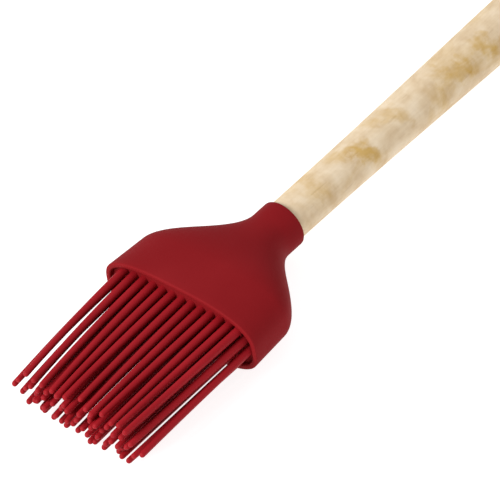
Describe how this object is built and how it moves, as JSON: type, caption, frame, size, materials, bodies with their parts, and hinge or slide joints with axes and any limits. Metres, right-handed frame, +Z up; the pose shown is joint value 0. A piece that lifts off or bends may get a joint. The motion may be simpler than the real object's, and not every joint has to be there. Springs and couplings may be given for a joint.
{
  "type": "pastry brush",
  "caption": "Pastry brush with a flat soft silicone head of round tapered bristles, pulled onto a turned pale wooden handle with a hanging hole.",
  "frame": {"origin": "under the middle of the whole brush, on the surface it lies flat on", "axes": "+X across the head's width, +Y along the brush from the bristles towards the handle's tip, +Z up through the head's thickness"},
  "size_m": [0.0446, 0.2652, 0.0184],
  "materials": {
    "beech": "sanded and unvarnished, dry satin",
    "red_silicone": "matte moulded",
    "bristle_silicone": "satin moulded"
  },
  "bodies": {
    "handle": {"handle": "beech"},
    "head": {"head": "red_silicone"},
    "row_1": {"bristle_row_1": "bristle_silicone"},
    "row_2": {"bristle_row_2": "bristle_silicone"},
    "row_3": {"bristle_row_3": "bristle_silicone"},
    "row_4": {"bristle_row_4": "bristle_silicone"},
    "row_5": {"bristle_row_5": "bristle_silicone"}
  },
  "joints": [
    {"name": "head_pull_off", "type": "slide", "parent": "handle", "child": "head", "axis": [0, -1, 0], "range_m": [0, 0.026]},
    {"name": "row_1_flex", "type": "hinge", "parent": "head", "child": "row_1", "pos_m": [0, -0.0946, 0.01398], "axis": [1, 0, 0], "range_deg": [-25, 25], "stiffness_Nm_per_rad": 0.02},
    {"name": "row_2_flex", "type": "hinge", "parent": "head", "child": "row_2", "pos_m": [0, -0.0946, 0.01159], "axis": [1, 0, 0], "range_deg": [-25, 25], "stiffness_Nm_per_rad": 0.02},
    {"name": "row_3_flex", "type": "hinge", "parent": "head", "child": "row_3", "pos_m": [0, -0.0946, 0.0092], "axis": [1, 0, 0], "range_deg": [-25, 25], "stiffness_Nm_per_rad": 0.02},
    {"name": "row_4_flex", "type": "hinge", "parent": "head", "child": "row_4", "pos_m": [0, -0.0946, 0.00681], "axis": [1, 0, 0], "range_deg": [-25, 25], "stiffness_Nm_per_rad": 0.02},
    {"name": "row_5_flex", "type": "hinge", "parent": "head", "child": "row_5", "pos_m": [0, -0.0946, 0.00442], "axis": [1, 0, 0], "range_deg": [-25, 25], "stiffness_Nm_per_rad": 0.02}
  ],
  "couplings": [
    {"joint": "row_1_flex", "follows": "row_3_flex", "ratio": 1},
    {"joint": "row_2_flex", "follows": "row_3_flex", "ratio": 1},
    {"joint": "row_4_flex", "follows": "row_3_flex", "ratio": 1},
    {"joint": "row_5_flex", "follows": "row_3_flex", "ratio": 1}
  ]
}
